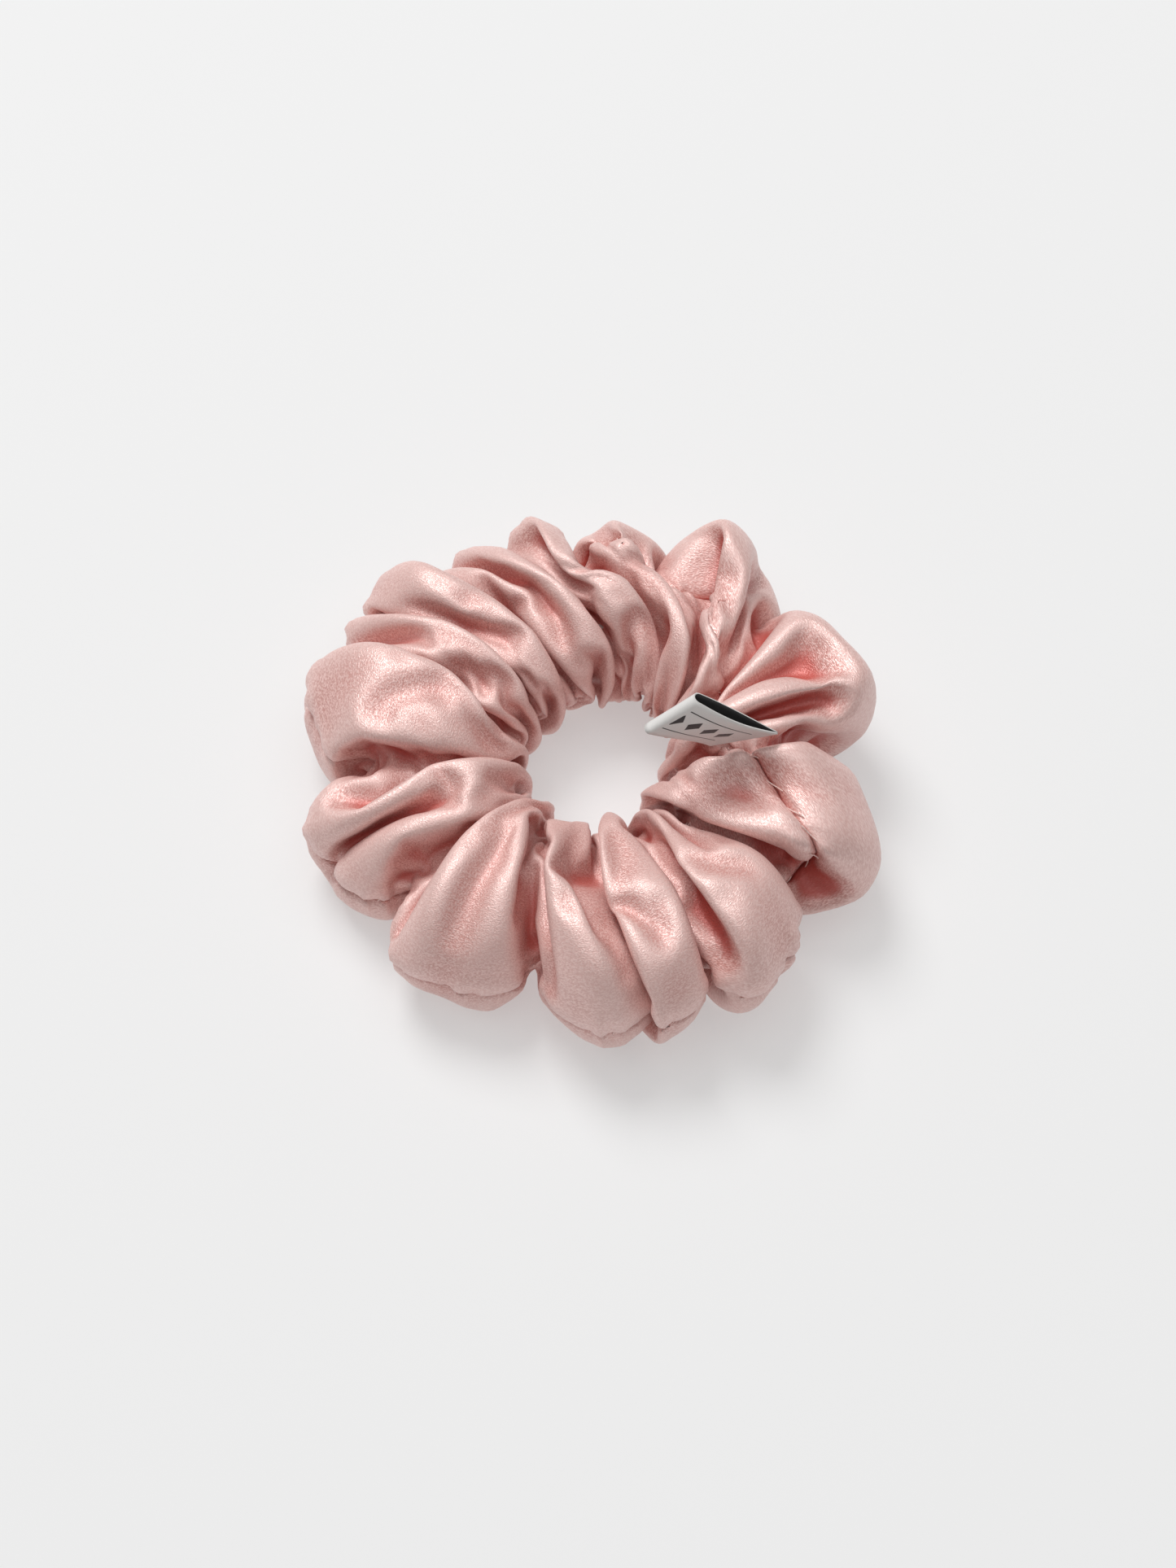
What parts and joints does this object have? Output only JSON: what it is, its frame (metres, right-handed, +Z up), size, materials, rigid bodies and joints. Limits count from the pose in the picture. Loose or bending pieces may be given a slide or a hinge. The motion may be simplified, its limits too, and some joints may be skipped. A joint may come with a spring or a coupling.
{
  "type": "hair scrunchie",
  "caption": "Gathered satin scrunchie: a ruffled fabric tube round a loop of flat elastic, with a folded ribbon label in its seam.",
  "frame": {"origin": "on the table, under the middle of the object's bounding box as it lies flat", "axes": "+Z up along the ring's axis, +X towards the label and the side whose seam shows, +Y away from the viewer with the label on the right"},
  "size_m": [0.1086, 0.1109, 0.0444],
  "materials": {
    "rose_satin": "dusty rose polyester satin, soft sheen",
    "rose_thread": "matched polyester sewing thread",
    "white_elastic": "white braided elastic",
    "label_ribbon": "woven ribbon, white outside and black inside"
  },
  "bodies": {
    "seam_side": {"cover_seam_side": "rose_satin", "elastic_band": "white_elastic", "elastic_join_needle_thread": "rose_thread", "elastic_join_bobbin_thread": "rose_thread", "long_seam_needle_thread": "rose_thread", "long_seam_bobbin_thread": "rose_thread", "end_join_needle_thread": "rose_thread", "end_join_bobbin_thread": "rose_thread", "gap_stitch_thread": "rose_thread"},
    "far_side": {"cover_far_side": "rose_satin"},
    "label": {"side_label": "label_ribbon"}
  },
  "joints": [
    {"name": "opening_stretch", "type": "slide", "parent": "seam_side", "child": "far_side", "axis": [-1, 0, 0], "range_m": [0, 0.08], "stiffness_N_per_m": 90, "deforming": ["elastic_band", "long_seam_needle_thread", "long_seam_bobbin_thread"]},
    {"name": "label_flap", "type": "hinge", "parent": "seam_side", "child": "label", "pos_m": [0.0283, -0.0033, 0.0296], "axis": [0.9847, 0.135, 0.11], "range_deg": [-75, 75], "stiffness_Nm_per_rad": 0.0002}
  ]
}
